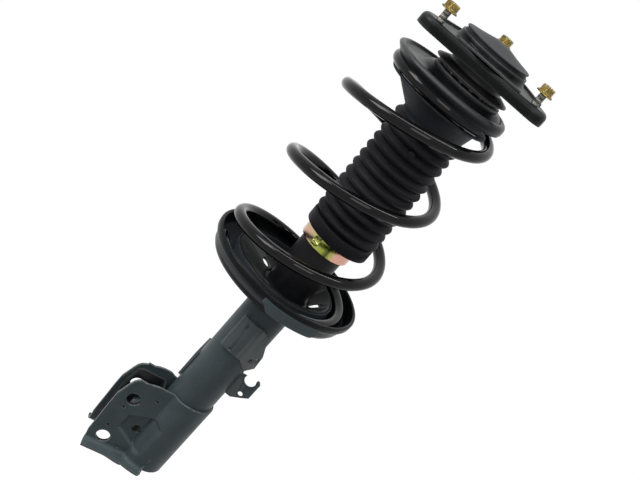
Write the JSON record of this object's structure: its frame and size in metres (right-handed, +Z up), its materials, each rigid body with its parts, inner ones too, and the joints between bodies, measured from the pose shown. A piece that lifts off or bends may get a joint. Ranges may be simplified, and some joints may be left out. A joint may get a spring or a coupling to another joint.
{
  "type": "strut assembly",
  "caption": "Front suspension strut with coil spring, ribbed dust boot, spring seats, bearing top mount with studs, and a U-shaped knuckle bracket with hose and cable brackets.",
  "frame": {"origin": "centre of the three tower studs, on the top face of the mount plate", "axes": "+Z up the piston rod towards the studs, -X from the damper tube towards the tips of the knuckle ears, Y along the knuckle bolts"},
  "size_m": [0.179, 0.179, 0.6243],
  "materials": {
    "black_steel": "satin black coating",
    "spring_coating": "gloss black coating",
    "stud_steel": "bare steel",
    "plain_steel": "machined",
    "yellow_zinc": "yellow zinc plate",
    "hard_chrome": "polished",
    "bearing_plastic": "matte",
    "slip_ring": "matte",
    "black_rubber": "matte",
    "boot_rubber": "matte",
    "foam_rubber": "matte foam",
    "seal_rubber": "matte"
  },
  "bodies": {
    "top_mount": {"mount_plate": "black_steel", "tower_studs": "stud_steel", "stud_nuts": "yellow_zinc", "dust_cap": "black_rubber", "mount_rubber": "black_rubber", "mount_cup": "black_steel", "mount_sleeve": "plain_steel", "rod_washer": "plain_steel", "rod_nut": "yellow_zinc", "bearing_upper_race": "bearing_plastic", "piston_rod": "hard_chrome", "rebound_stop": "plain_steel", "piston": "plain_steel", "piston_ring": "slip_ring", "piston_nut": "plain_steel", "bump_stop": "foam_rubber"},
    "bearing_balls_and_cage": {"bearing_cage": "bearing_plastic", "bearing_balls": "plain_steel"},
    "spring_group": {"bearing_lower_race": "bearing_plastic", "upper_spring_seat": "black_steel", "upper_spring_insulator": "black_rubber", "dust_boot": "boot_rubber", "coil_spring": "spring_coating"},
    "damper_body": {"damper_tube": "black_steel", "pressure_tube": "plain_steel", "base_valve": "plain_steel", "tube_end_cap": "black_steel", "rod_guide": "plain_steel", "rod_seal": "seal_rubber", "strike_cap": "yellow_zinc", "lower_spring_seat": "black_steel", "lower_spring_insulator": "black_rubber", "knuckle_bracket": "black_steel", "bracket_brace": "black_steel", "hose_bracket": "black_steel", "clip_bracket": "black_steel", "link_bracket": "black_steel"}
  },
  "joints": [
    {"name": "steer", "type": "hinge", "parent": "top_mount", "child": "spring_group", "pos_m": [0, 0, -0.03], "axis": [0, 0, 1], "range_deg": [-40, 40]},
    {"name": "bearing_roll", "type": "hinge", "parent": "top_mount", "child": "bearing_balls_and_cage", "pos_m": [0, 0, -0.028], "axis": [0, 0, 1], "range_deg": [-20, 20]},
    {"name": "stroke", "type": "slide", "parent": "spring_group", "child": "damper_body", "axis": [0, 0, 1], "range_m": [0, 0.155], "stiffness_N_per_m": 22000, "springref_m": -0.06, "deforming": ["coil_spring", "dust_boot", "bump_stop"]}
  ],
  "couplings": [
    {"joint": "bearing_roll", "follows": "steer", "ratio": 0.5}
  ]
}
